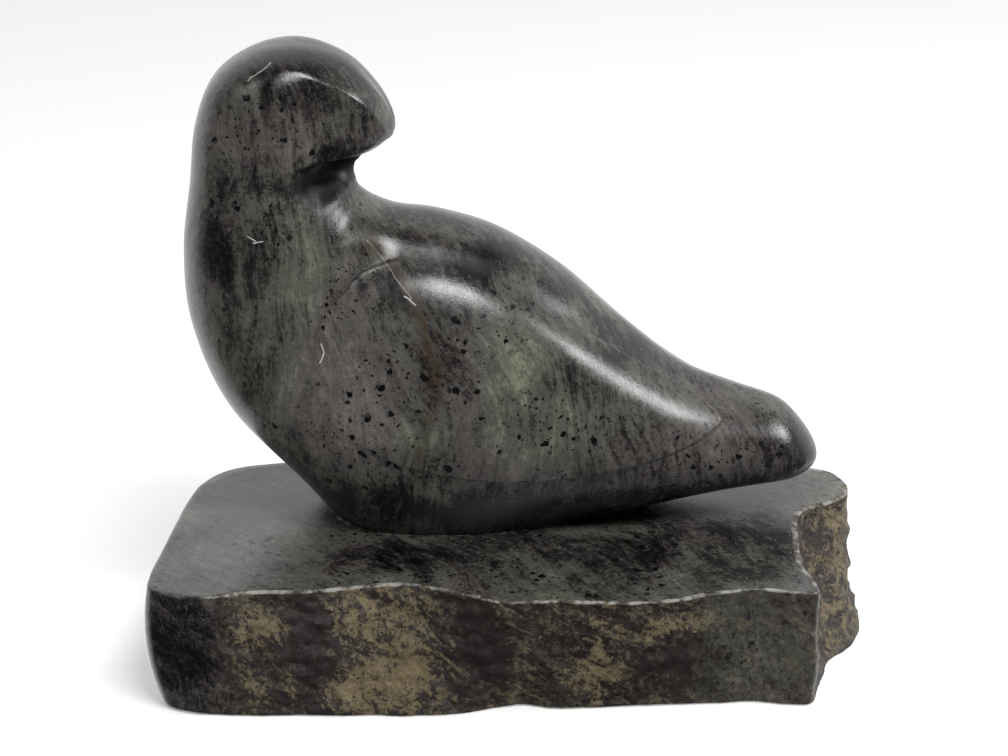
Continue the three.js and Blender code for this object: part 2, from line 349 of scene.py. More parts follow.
@dataclass
class Bird:
    """The bird's form, from the tail round the breast and up the neck to the beak.

    Each rib is a closed section across the bird: dorsal x, z, ventral x, z, half width, place of the
    widest point from dorsal 0 to ventral 1, and how square the two halves are, where 2 is an ellipse.
    """

    ribs: tuple = (
        (108.5, 70, 110.5, 56, 12, 0.5, 1.8, 2.1),  # tail end
        (96, 81.5, 97, 53, 18, 0.5, 1.7, 2.1),
        (80, 87.5, 80, 50.5, 23, 0.5, 1.7, 2.0),
        (62, 95, 62, 47.5, 29, 0.52, 1.8, 2.0),  # tail root
        (42, 110.5, 42, 43, 35, 0.54, 1.9, 2.0),
        (20, 130, 20, 38, 39.5, 0.53, 2.0, 2.0),  # rump
        (-2, 144, -2, 27, 42, 0.5, 2.0, 2.0),
        (-22, 150.5, -22, 25, 42.5, 0.5, 2.0, 2.1),  # shoulders
        (-36, 152.5, -46, 28, 41, 0.5, 2.0, 2.1),
        (-44, 155.5, -70, 54, 38, 0.52, 2.0, 2.1),  # breast
        (-48, 158.5, -95, 82, 35, 0.54, 2.0, 2.1),
        (-49.5, 161, -107, 112, 33, 0.55, 2.0, 2.1),
        (-50, 163, -109, 138, 30, 0.54, 2.0, 2.0),
        (-50.5, 165, -106, 162, 27, 0.5, 1.8, 2.0),  # neck
        (-50.5, 167, -103.5, 182, 26.5, 0.42, 1.5, 2.2),
        (-50, 168.5, -97, 198, 27, 0.34, 1.35, 2.5),  # back of the head
        (-49, 169.5, -84, 207.3, 27.5, 0.28, 1.3, 2.6),
        (-47.5, 171.2, -68, 210, 27, 0.22, 1.3, 2.7),  # crown
        (-45.2, 172.8, -52.7, 205.2, 24, 0.19, 1.3, 2.9),
        (-42.6, 174.6, -43.3, 195.5, 17, 0.2, 1.35, 3.0),
        (-40.2, 176.8, -38.4, 186.8, 9, 0.22, 1.5, 3.0),  # beak
        (-37.9, 178.2, -36.8, 180.4, 2.4, 0.3, 1.6, 2.2),
    )
    axis_y: float = 38
    tail_rounding: float = 0.9
    beak_rounding: float = 0.5
    head_wide_x: float = -80
    head_narrow_x: float = -46
    head_narrowing: float = 0.42
    chin_low_z: float = 166
    chin_high_z: float = 178
    segments: int = 144
    rings: int = 180
    side_share: float = 0.3
    far_wing: float = 0.3
    wing: Wing = field(default_factory=Wing)
    strokes: tuple = (
        Stroke(  # jaw
            Profile.CREST,
            (
                (-78, 172.5, 0),
                (-70, 173.8, 0.8),
                (-64, 175, 2.0),
                (-57.5, 176.6, 3.0),
                (-51, 177.4, 2.6),
                (-45, 178, 1.2),
                (-40, 178.4, 0.3),
            ),
            0.8,
            8,
        ),
        Stroke(  # under the jaw
            Profile.UNDERCUT,
            (
                (-77, 171.5, 0),
                (-73.9, 172, 1.5),
                (-68.8, 173, 3.5),
                (-64.4, 174, 6.5),
                (-57.7, 175.2, 8),
                (-51, 175.6, 6.5),
                (-45, 175.8, 2.5),
                (-40, 176.3, 0.6),
            ),
            2.2,
            11,
        ),
        Stroke(  # brow
            Profile.CREST,
            (
                (-86.4, 197, 0),
                (-79, 203, 0.3),
                (-70, 204.8, 0.8),
                (-61, 200.6, 2.0),
                (-52.4, 195.4, 3.4),
                (-46, 189.2, 3.4),
                (-41.5, 183, 2.2),
                (-38.6, 177.6, 0.5),
            ),
            0.6,
            8,
        ),
    )

    def fullness(self, place: np.ndarray) -> np.ndarray:
        """How much of a rib is left at a place, where the body closes at each end."""
        tail = np.minimum(place / self.tail_rounding, 1)
        beak = np.minimum((len(self.ribs) - 1 - place) / self.beak_rounding, 1)
        return np.sqrt(1 - (1 - tail) ** 2) * np.sqrt(1 - (1 - beak) ** 2)

    def form(self, place: np.ndarray, angle: np.ndarray) -> np.ndarray:
        """The bare form's points.

        Args:
            place: Where along the ribs, from 0 at the tail.
            angle: Where round the rib, from 0 at its ventral point and a quarter turn at the front side.

        Returns:
            One row of x, y, z in millimetres for each point, with y from the bird's own axis.
        """
        place = np.clip(place, 0, len(self.ribs) - 1)
        rows = smooth_rows(np.array(self.ribs, float), place)
        dx, dz, vx, vz, half, wide, square_top, square_low = rows.T
        c, s = np.cos(angle), np.sin(angle)
        lower = c >= 0
        power = 2 / np.where(lower, square_low, square_top)
        full = self.fullness(place)
        reach = np.abs(c) ** power * full
        side = np.sign(s) * np.abs(s) ** power * full
        along = np.where(lower, wide + (1 - wide) * reach, wide * (1 - reach))
        x, z = dx + (vx - dx) * along, dz + (vz - dz) * along
        forward = smooth_step(x, self.head_wide_x, self.head_narrow_x)
        upward = smooth_step(z, self.chin_low_z, self.chin_high_z)
        y = -half * side * (1 - self.head_narrowing * forward * upward)
        return np.stack([x, y, z], 1)

    def ring_places(self) -> np.ndarray:
        """Places along the ribs for the mesh's rings, evenly far apart."""
        samples = np.linspace(0, len(self.ribs) - 1, 4000)
        longest = np.zeros(len(samples) - 1)
        for angle in np.linspace(0, math.pi, 13):
            walk = self.form(samples, np.full(len(samples), angle))
            longest = np.maximum(longest, np.linalg.norm(np.diff(walk, axis=0), axis=1))
        total = np.concatenate([[0], np.cumsum(longest)])
        return np.interp(np.linspace(0, total[-1], self.rings + 1), total, samples)

    def address(self, ball: np.ndarray) -> tuple[np.ndarray, np.ndarray]:
        """Turns points of a ball into places along the ribs and angles round them."""
        unit = ball / np.linalg.norm(ball, axis=1)[:, None]
        share = np.arccos(np.clip(unit[:, 2], -1, 1)) / math.pi
        places = np.interp(share * self.rings, np.arange(self.rings + 1), self.ring_places())
        return places, np.arctan2(unit[:, 1], unit[:, 0])

    def outward(self, place: np.ndarray, angle: np.ndarray) -> np.ndarray:
        """The bare form's unit normals."""
        step = 0.01
        along = self.form(place + step, angle) - self.form(place - step, angle)
        around = self.form(place, angle + step) - self.form(place, angle - step)
        normal = np.cross(around, along)
        return normal / np.maximum(np.linalg.norm(normal, axis=1), 1e-9)[:, None]

    def skin(self, place: np.ndarray, angle: np.ndarray) -> np.ndarray:
        """The finished form's points, with the wings' relief."""
        bare = self.form(place, angle)
        half = smooth_rows(np.array(self.ribs, float), np.clip(place, 0, len(self.ribs) - 1))[:, 4]
        share = np.minimum(np.abs(bare[:, 1]) / (half * self.side_share), 1)
        flat = bare[:, [0, 2]]
        far = np.where(bare[:, 1] > 0, self.far_wing, 1)
        lift = share * (far * self.wing.relief(flat) + sum(stroke.lift(flat) for stroke in self.strokes))
        return bare + self.outward(place, angle) * lift[:, None]

    def build(self) -> bpy.types.Object:
        """Models the bird from a ball, with more points where its edges are crisp.

        Returns:
            The bird in millimetres, in the carver's own frame.
        """
        bpy.ops.object.select_all(action="DESELECT")
        bpy.ops.mesh.primitive_uv_sphere_add(segments=self.segments, ring_count=self.rings, radius=1)
        piece = bpy.context.object
        piece.name = "bird"
        path = self.wing.path()
        for reach in (2.2, 1.2):
            centres = self.form(*self.address(face_centres(piece)))
            flat = centres[:, [0, 2]]
            gap, rows = path_distance(flat, path)
            crisp = (gap < reach) & (rows[:, 2] > 0.3)
            for stroke in self.strokes:
                crisp |= stroke.nearest(flat)[0] < stroke.crisp * reach / 1.2
            subdivide_faces(piece, crisp & (np.abs(centres[:, 1]) > 2))
        places = self.skin(*self.address(mesh_points(piece)))
        places[:, 1] += self.axis_y
        set_points(piece, places)
        close_skin(piece)
        return piece


@dataclass
class Slab:
    """The base: a polished top, a smooth left end, and sides left as the block broke.

    Each post is top x, y, foot x, y, how far the face bulges between them, and how broken it is. They
    run anticlockwise seen from above, from the front left corner.
    """

    posts: tuple = (
        (-117, -34, -113, -35, 3, 0),
        (-108, -40, -104, -40, 2, 0),
        (-98, -41, -97, -41, 1, 0.1),
        (-84, -37.5, -84, -42, 1, 1),
        (-67, -37, -67, -42, 1, 1),
        (-53, -34.5, -52, -42, 1, 1),
        (-39, -31.5, -38, -42, 1, 1),
        (-28, -32, -26, -42, 1, 1),
        (-17, -37, -16, -41, 0, 1),
        (-3, -44, -5, -37, 0, 1),
        (6, -45, 6, -34.5, 0, 1),
        (18, -44, 17, -37, 0, 1),
        (31, -45.5, 31, -36, 0, 1),
        (44, -46, 45, -35, 0, 1),
        (58, -43, 59, -34, 0, 0.9),
        (71, -38, 72, -33, 0, 0.5),
        (85, -35, 84, -32, -1, 0.4),
        (97, -37.5, 95, -34, -1, 0.4),
        (104, -36.5, 103.5, -33.5, 0.5, 0.5),
        (103.3, -27, 107, -23, 0, 0.9),
        (100.5, -14, 110, -12, 0, 1),
        (101, 3, 113, -2, -2, 1),
        (103.5, 26, 120, 6, -3, 1),
        (115, 34.5, 124, 15, -3, 1),
        (122, 44, 126.5, 29, -2, 1),
        (121, 56, 124, 50, 0, 1),
        (112, 65.5, 114, 65, 1, 1),
        (85, 71.5, 86, 72, 1, 1),
        (50, 76, 50, 76, 0, 1),
        (15, 78, 15, 78, 0, 1),
        (-20, 77.5, -20, 77.5, 0, 1),
        (-55, 74, -55, 74, 0, 0.8),
        (-82, 69.5, -82, 70, 1, 0.2),
        (-98, 64, -97, 64, 1, 0),
        (-107, 53, -105, 53, 2, 0),
        (-111, 37, -109, 37, 2, 0),
        (-113.5, 18, -111, 18, 2, 0),
        (-116, -5, -113, -5, 3, 0),
        (-118, -23, -115, -23, 3, 0),
    )
    height: float = 44
    edge_rounding: float = 0.9
    rim_depth: float = 1.2
    unseen_y: float = 50
    ledge_depth: float = 1.5
    flake_depth: float = 1.3
    grain_depth: float = 0.5
    centre: tuple = (0.0, 15.0)
    segments: int = 300
    foot_rings: int = 6
    side_rings: int = 24
    top_rings: int = 30

    @property
    def rings(self) -> int:
        """All the rings of the mesh."""
        return self.foot_rings + self.side_rings + self.top_rings

    def address(self, ball: np.ndarray) -> tuple[np.ndarray, np.ndarray, np.ndarray]:
        """Turns points of a ball into the slab's own measures.

        Args:
            ball: Points of the ball that the slab is modelled from.

        Returns:
            The place round the posts, the share of the height, and the share of the way to the middle.
        """
        unit = ball / np.linalg.norm(ball, axis=1)[:, None]
        ring = (1 - np.arccos(np.clip(unit[:, 2], -1, 1)) / math.pi) * self.rings
        turn = np.arctan2(unit[:, 1], unit[:, 0]) / (2 * math.pi) % 1
        round_place = turn * len(self.posts)
        side = np.clip((ring - self.foot_rings) / self.side_rings, 0, 1)
        height = (1 - np.cos(math.pi * side)) / 2 * 0.45 + side * 0.55
        under = np.clip(1 - ring / self.foot_rings, 0, 1)
        over = np.clip((ring - self.foot_rings - self.side_rings) / self.top_rings, 0, 1)
        return round_place, height, np.maximum(under, over)

    def skin(self, place: np.ndarray, height: np.ndarray, inward: np.ndarray) -> np.ndarray:
        """The slab's bare points, one row of x, y, z in millimetres each."""
        rows = np.array(self.posts, float)
        count = len(rows)
        tx, ty, fx, fy, belly, _ = smooth_rows(rows, place, closed=True).T
        before = smooth_rows(rows, (place - 0.05) % count, closed=True)
        after = smooth_rows(rows, (place + 0.05) % count, closed=True)
        out = np.stack([after[:, 1] - before[:, 1], before[:, 0] - after[:, 0]], 1)
        out /= np.linalg.norm(out, axis=1)[:, None]
        z = height * self.height
        short = np.maximum(self.edge_rounding - np.minimum(z, self.height - z), 0)
        inset = self.edge_rounding - np.sqrt(self.edge_rounding**2 - short**2)
        flat = np.stack([fx + (tx - fx) * height, fy + (ty - fy) * height], 1)
        flat += out * (belly * 4 * height * (1 - height) - inset)[:, None]
        flat += (np.array(self.centre) - flat) * inward[:, None]
        return np.column_stack([flat, z])

    def brokenness(self, place: np.ndarray) -> np.ndarray:
        """How broken the side is round the posts, from 0 to 1."""
        return np.clip(smooth_rows(np.array(self.posts, float), place, closed=True)[:, 5], 0, 1)

    def broken_at(self, points: np.ndarray) -> np.ndarray:
        """How broken the stone is at points of the finished carving, from 0 to 1."""
        place = np.linspace(0, len(self.posts), 4 * len(self.posts) + 1)[:-1]
        rows = smooth_rows(np.array(self.posts, float), place, closed=True)
        middle = (rows[:, :2] + rows[:, 2:4]) / 2
        path = np.column_stack([middle, self.brokenness(place)])
        nearest = path_distance(points[:, :2], np.vstack([path, path[:1]]))[1]
        return np.where(points[:, 2] < self.height - TOUCH, nearest[:, 2], 0)

    def build(self) -> bpy.types.Object:
        """Models the slab from a ball, with more points on its broken sides.

        Returns:
            The slab in millimetres, in the carver's own frame.
        """
        bpy.ops.object.select_all(action="DESELECT")
        bpy.ops.mesh.primitive_uv_sphere_add(segments=self.segments, ring_count=self.rings, radius=1)
        piece = bpy.context.object
        piece.name = "slab"
        place, height, inward = self.address(face_centres(piece))
        bare = self.skin(place, height, inward)
        shows = (self.brokenness(place) > 0.05) & (bare[:, 1] < self.unseen_y)
        subdivide_faces(piece, (inward < 0.001) & shows)
        place, height, inward = self.address(face_centres(piece))
        bare = self.skin(place, height, inward)
        rim = (bare[:, 2] > self.height - self.rim_depth) & (inward < 0.02) & (bare[:, 1] < self.unseen_y)
        subdivide_faces(piece, rim)
        place, height, inward = self.address(mesh_points(piece))
        bare = self.skin(place, height, inward)
        broken = self.brokenness(place) * np.where(inward < 0.001, 1, 0)
        set_points(piece, bare)
        close_skin(piece)
        self.fracture(piece, broken)
        return piece

    def fracture(self, piece: bpy.types.Object, broken: np.ndarray) -> None:
        """Breaks the side's skin into ledges, shell-shaped flakes and grain."""
        places = mesh_points(piece)
        normals = np.empty(len(places) * 3)
        piece.data.vertices.foreach_get("normal", normals)
        normals = normals.reshape(-1, 3)
        rim = smooth_step(np.minimum(places[:, 2], self.height - places[:, 2]), 0.0, 4.0)
        ledges = roughness_at(places, Vector((16, 16, 9)), 3)
        flakes = cells_at(places, Vector((9, 9, 6)))
        grain = roughness_at(places, Vector((2.6, 2.6, 1.8)), 3)
        lift = self.ledge_depth * ledges + self.flake_depth * (flakes[:, 1] - flakes[:, 0] - 0.4)
        lift += self.grain_depth * grain - 0.6
        places += normals * (lift * broken * (0.25 + 0.75 * rim))[:, None]
        places[:, 2] = np.maximum(places[:, 2], 0)
        set_points(piece, places)


class Board:
    """Adds and joins the nodes of one material or world."""

    def __init__(self, tree: bpy.types.NodeTree) -> None:
        """Starts with an empty board."""
        self.tree = tree
        tree.nodes.clear()

    def add(self, kind: str, inputs: dict | None = None, **settings: object) -> bpy.types.Node:
        """Adds a node.

        Args:
            kind: The node's type name.
            inputs: A value or an output socket for each input, by its name or number.
            settings: The node's own settings.

        Returns:
            The node.
        """
        made = self.tree.nodes.new(kind)
        for name, value in settings.items():
            setattr(made, name, value)
        for name, value in (inputs or {}).items():
            if isinstance(value, bpy.types.NodeSocket):
                self.tree.links.new(value, made.inputs[name])
            else:
                made.inputs[name].default_value = value
        return made

    def math(self, operation: str, a: object, b: object = 0.0, c: object = 0.0) -> bpy.types.NodeSocket:
        """A sum of up to three numbers or sockets."""
        return self.add("ShaderNodeMath", {0: a, 1: b, 2: c}, operation=operation).outputs[0]

    def vector_math(self, operation: str, inputs: dict) -> bpy.types.Node:
        """A sum of vectors."""
        return self.add("ShaderNodeVectorMath", inputs, operation=operation)

    def band(self, value: object, low: float, high: float) -> bpy.types.NodeSocket:
        """0 at low, 1 at high and eased between them."""
        made = self.add(
            "ShaderNodeMapRange",
            {"Value": value, "From Min": low, "From Max": high},
            interpolation_type="SMOOTHSTEP",
        )
        return made.outputs["Result"]

    def stretched(self, place: object, scale: tuple, turn: tuple = (0, 0, 0)) -> bpy.types.NodeSocket:
        """Places turned and divided by the grain's size along each axis, for a grain with a direction."""
        inputs = {"Vector": place, "Rotation": turn, "Scale": scale}
        return self.add("ShaderNodeMapping", inputs, vector_type="TEXTURE").outputs[0]

    def noise(
        self, place: object, scale: float, detail: float = 3, rough: float = 0.5, warp: float = 0
    ) -> bpy.types.NodeSocket:
        """Soft noise from 0 to 1."""
        inputs = {"Vector": place, "Scale": scale, "Detail": detail}
        inputs |= {"Roughness": rough, "Distortion": warp}
        return self.add("ShaderNodeTexNoise", inputs).outputs["Fac"]

    def cells(self, place: object, scale: float) -> bpy.types.NodeSocket:
        """Distance to the nearest cell centre."""
        return self.add("ShaderNodeTexVoronoi", {"Vector": place, "Scale": scale}).outputs["Distance"]

    def mix(self, share: object, a: object, b: object) -> bpy.types.NodeSocket:
        """Two colours mixed."""
        return self.add("ShaderNodeMix", {0: share, 6: a, 7: b}, data_type="RGBA").outputs[2]

    def mask(self, mask: Mask) -> bpy.types.NodeSocket:
        """A painted value."""
        return self.add("ShaderNodeAttribute", attribute_name=mask.value).outputs["Fac"]


@dataclass(frozen=True)
class Soapstone:
    """Dark green-grey soapstone: waxed where it was carved, ochre and rough where it broke."""

    black: tuple = (0.0025, 0.0025, 0.0035, 1)
    umber: tuple = (0.021, 0.018, 0.017, 1)
    violet: tuple = (0.078, 0.072, 0.067, 1)
    violet_pale: tuple = (0.17, 0.155, 0.145, 1)
    green: tuple = (0.074, 0.08, 0.063, 1)
    green_pale: tuple = (0.19, 0.195, 0.14, 1)
    plum: tuple = (0.022, 0.014, 0.013, 1)
    olive: tuple = (0.055, 0.048, 0.034, 1)
    ochre: tuple = (0.17, 0.13, 0.065, 1)
    straw: tuple = (0.33, 0.28, 0.17, 1)
    rust: tuple = (0.05, 0.033, 0.02, 1)
    chalk: tuple = (0.55, 0.54, 0.5, 1)
    bird_sheets: Vector = Vector((1, 0.7, 0.1))
    slab_sheets: Vector = Vector((1, 0.75, 0.75))
    slab_top: float = 0.044
    spot_rows: tuple = (  # cells in a metre, where a spot starts to show, and where it is black
        (420, 0.25, 0.14),
        (190, 0.24, 0.15),
        (85, 0.16, 0.11),
    )
    near_side: float = 0.012
    scratch_rows: tuple = (  # x, z at each end, half width in millimetres, and strength
        (-87, 202, -79.5, 207, 0.2, 0.6),  # temple
        (-88, 151.6, -85, 150.4, 0.22, 0.9),  # neck
        (-86, 149.8, -82.8, 150.2, 0.22, 0.9),
        (-97.6, 187, -96.8, 181.5, 0.22, 0.1),  # cheek
        (-96.8, 181.5, -92, 174, 0.22, 0.12),
        (-64, 116.4, -63, 113.2, 0.3, 0.9),  # wing
        (-63, 113.2, -64.4, 110, 0.3, 0.9),
        (-49, 147.5, -41, 138.5, 0.14, 0.35),  # shoulder
        (-41, 138.5, -34, 130.6, 0.16, 0.5),
        (-36.2, 131.2, -32.4, 129, 0.3, 0.8),
    )

    def material(self) -> bpy.types.Material:
        """Makes the stone's material.

        Returns:
            A material that reads object coordinates and the painted masks.
        """
        made = bpy.data.materials.new("waxed_soapstone")
        made.use_nodes = True
        board = Board(made.node_tree)
        place = board.add("ShaderNodeTexCoord").outputs["Object"]
        height = board.add("ShaderNodeSeparateXYZ", {"Vector": place}).outputs["Z"]
        broken = board.mask(Mask.BROKEN)
        drifted = self.shaken(board, place, 14, 0.03, 2)
        polished = self.polished(board, place, drifted, height)
        rough_skin = self.rough_skin(board, place, drifted)
        colour = board.mix(broken, polished, rough_skin)
        chalk = self.chalk_lines(board, place, height, broken)
        colour = board.mix(chalk, colour, self.chalk)
        grain = board.noise(place, 1500, 3, 0.6)
        gloss = board.math("MULTIPLY_ADD", grain, 0.3, 0.02)
        gloss = board.math("MULTIPLY_ADD", board.mask(Mask.SATIN), 0.3, gloss)
        rough = board.math("MULTIPLY_ADD", broken, 0.32, gloss)
        rough = board.math("MULTIPLY_ADD", chalk, 0.3, rough)
        shine = board.math("MULTIPLY_ADD", board.mask(Mask.SATIN), -0.45, 0.5)
        inputs = {"Base Color": colour, "Roughness": rough, "Specular IOR Level": shine, "IOR": 1.54}
        inputs["Normal"] = self.bumps(board, place, broken)
        shader = board.add("ShaderNodeBsdfPrincipled", inputs)
        board.add("ShaderNodeOutputMaterial", {"Surface": shader.outputs["BSDF"]})
        return made

    def shaken(
        self, board: Board, place: object, scale: float, amount: float, detail: float
    ) -> bpy.types.NodeSocket:
        """Places moved about by noise, so that a pattern read there isn't straight or round."""
        drift = board.add("ShaderNodeTexNoise", {"Vector": place, "Scale": scale, "Detail": detail})
        centred = board.vector_math("SUBTRACT", {0: drift.outputs["Color"], 1: (0.5,) * 3}).outputs[0]
        return board.vector_math("MULTIPLY_ADD", {0: centred, 1: (amount,) * 3, 2: place}).outputs[0]

    def sheet_noise(
        self, board: Board, place: object, normal: Vector, grain: tuple
    ) -> bpy.types.NodeSocket:
        """Noise in thin sheets square to the normal, with its grain's size along and across it."""
        turn = tuple(normal.to_track_quat("X", "Z").to_euler())
        return board.noise(board.stretched(place, grain, turn), 1, 5, 0.65, 0.4)

    def spots(self, board: Board, place: object) -> bpy.types.NodeSocket:
        """Black mineral spots from half a millimetre to three, in crowds."""
        shaken = self.shaken(board, place, 380, 0.0035, 2)
        crowd = board.noise(place, 38, 3, 0.6)
        spots = 0.0
        for scale, outer, inner in self.spot_rows:
            spots = board.math("MAXIMUM", spots, board.band(board.cells(shaken, scale), outer, inner))
        return board.math("MULTIPLY", spots, board.band(crowd, 0.45, 0.53))

    def polished(
        self, board: Board, place: object, drifted: object, height: object
    ) -> bpy.types.NodeSocket:
        """The colour of the carved and waxed stone, with painted shade and painted reflections added
        through the painted tone.
        """
        clouds = board.noise(drifted, 30, 4, 0.6, 0.5)
        upright = self.sheet_noise(board, drifted, self.bird_sheets, (0.0032, 0.013, 0.026))
        slanted = self.sheet_noise(board, drifted, self.slab_sheets, (0.0036, 0.015, 0.015))
        on_bird = board.band(height, self.slab_top, self.slab_top + 0.012)
        sheets = board.add("ShaderNodeMix", {0: on_bird, 2: slanted, 3: upright}).outputs[0]
        specks = board.noise(place, 520, 4, 0.65)
        dust = board.noise(place, 1900, 2, 0.5)
        threads = self.sheet_noise(board, drifted, self.bird_sheets, (0.0008, 0.0035, 0.008))
        tone = board.math("MULTIPLY_ADD", clouds, 1.0, -1.23)
        tone = board.math("MULTIPLY_ADD", sheets, 0.85, tone)
        tone = board.math("MULTIPLY_ADD", threads, 0.6, tone)
        tone = board.math("MULTIPLY_ADD", specks, 0.6, tone)
        tone = board.math("MULTIPLY_ADD", dust, 0.4, tone)
        # the painted tone adds the stone's own paler and darker patches, and also painted shade and
        # painted reflections
        tone = board.math("ADD", board.mask(Mask.TONE_AND_SHADE), tone)
        hue = board.math("MULTIPLY_ADD", board.noise(drifted, 22, 3, 0.55), 3.5, -1.35)
        hue = board.math("MULTIPLY_ADD", board.mask(Mask.GREEN), 1.5, hue)
        hue = board.band(hue, 0.0, 1.0)
        middle = board.mix(hue, self.violet, self.green)
        pale = board.mix(hue, self.violet_pale, self.green_pale)
        colour = board.mix(board.band(tone, 0.1, 0.36), self.black, self.umber)
        colour = board.mix(board.band(tone, 0.28, 0.58), colour, middle)
        colour = board.mix(board.band(tone, 0.55, 1.0), colour, pale)
        colour = board.mix(self.spots(board, place), colour, self.black)
        vein = board.math("MULTIPLY", board.mask(Mask.VEIN), board.band(specks, 0.4, 0.55))
        return board.mix(vein, colour, self.rust)

    def rough_skin(self, board: Board, place: object, drifted: object) -> bpy.types.NodeSocket:
        """The colour of the broken stone."""
        blotches = self.sheet_noise(board, drifted, self.slab_sheets, (0.007, 0.014, 0.012))
        swirls = board.noise(board.stretched(drifted, (0.02, 0.02, 0.006), (0.5, 0.6, 0)), 1, 5, 0.7, 2.2)
        fine = board.noise(place, 520, 6, 0.8, 0.8)
        tone = board.math("MULTIPLY_ADD", blotches, 0.5, -0.62)
        tone = board.math("MULTIPLY_ADD", swirls, 0.7, tone)
        tone = board.math("MULTIPLY_ADD", fine, 1.0, tone)
        tone = board.math("ADD", tone, board.math("MULTIPLY", board.mask(Mask.TONE_AND_SHADE), 0.8))
        gilded = board.math("ADD", tone, board.math("MULTIPLY", board.mask(Mask.GOLD), 0.22))
        colour = board.mix(board.band(tone, 0.4, 0.56), self.plum, self.olive)
        colour = board.mix(board.band(gilded, 0.51, 0.67), colour, self.ochre)
        colour = board.mix(board.band(gilded, 0.72, 0.92), colour, self.straw)
        pits = board.band(board.cells(self.shaken(board, place, 500, 0.002, 2), 520), 0.28, 0.12)
        pits = board.math("MULTIPLY", pits, board.band(board.noise(place, 70, 3), 0.46, 0.56))
        return board.mix(pits, colour, self.black)

    def chalk_lines(
        self, board: Board, place: object, height: object, broken: object
    ) -> bpy.types.NodeSocket:
        """Where the slab's top edge and the scored lines are rubbed pale."""
        wander = board.noise(place, 160, 4, 0.7)
        low = board.math("MULTIPLY_ADD", wander, -0.0016, self.slab_top + 0.0001)
        edge = board.math("SUBTRACT", height, low)
        below_top = board.band(height, 0.04398, 0.0439)
        edge = board.math("MULTIPLY", board.band(edge, -0.0003, 0.0003), below_top)
        edge = board.math("MULTIPLY", edge, board.band(board.math("ADD", broken, 0.25), 0.2, 0.5))
        edge = board.math("MULTIPLY", edge, board.band(wander, 0.42, 0.62))
        scored = board.math("MULTIPLY", board.band(board.mask(Mask.SCORE), 0.45, 0.95), 0.6)
        scored = board.math("MAXIMUM", scored, self.scratches(board, place))
        return board.math("MAXIMUM", board.math("MULTIPLY", edge, 0.6), scored)

    def scratches(self, board: Board, place: object) -> bpy.types.NodeSocket:
        """1 on the scratches of the bird's near side, and 0 elsewhere."""
        shaken = self.shaken(board, place, 260, 0.0014, 3)
        split = board.add("ShaderNodeSeparateXYZ", {"Vector": shaken})
        ends = {"X": split.outputs["X"], "Z": split.outputs["Z"]}
        flat = board.add("ShaderNodeCombineXYZ", ends).outputs[0]
        near = board.math("LESS_THAN", split.outputs["Y"], self.near_side)
        total = 0.0
        for x1, z1, x2, z2, width, strength in self.scratch_rows:
            start = Vector((x1, 0, z1)) * MM
            run = Vector((x2, 0, z2)) * MM - start
            off = board.vector_math("SUBTRACT", {0: flat, 1: tuple(start)}).outputs[0]
            scaled = tuple(run / run.length_squared)
            share = board.vector_math("DOT_PRODUCT", {0: off, 1: scaled}).outputs["Value"]
            share = board.add("ShaderNodeClamp", {"Value": share}).outputs[0]
            along = board.vector_math("SCALE", {0: tuple(run), "Scale": share}).outputs[0]
            gap = board.vector_math("DISTANCE", {0: off, 1: along}).outputs["Value"]
            mark = board.math("MULTIPLY", board.band(gap, width * MM, width * MM / 3), strength)
            total = board.math("MAXIMUM", total, mark)
        return board.math("MULTIPLY", total, near)

    def bumps(self, board: Board, place: object, broken: object) -> bpy.types.NodeSocket:
        """Fine scratches in the polish, and grain and pits where the stone broke."""
        rubbed = board.noise(board.stretched(place, (0.0012, 0.0012, 0.006)), 1, 4, 0.7)
        fine = board.noise(place, 1900, 3, 0.6)
        worn = board.math("MULTIPLY_ADD", rubbed, 0.5, fine)
        crumbs = board.noise(place, 420, 6, 0.75, 0.6)
        height = board.math("MULTIPLY", worn, 0.075)
        height = board.math("MULTIPLY_ADD", crumbs, board.math("MULTIPLY", broken, 1.0), height)
        inputs = {"Height": height, "Strength": 0.6, "Distance": 0.0016}
        return board.add("ShaderNodeBump", inputs).outputs[0]


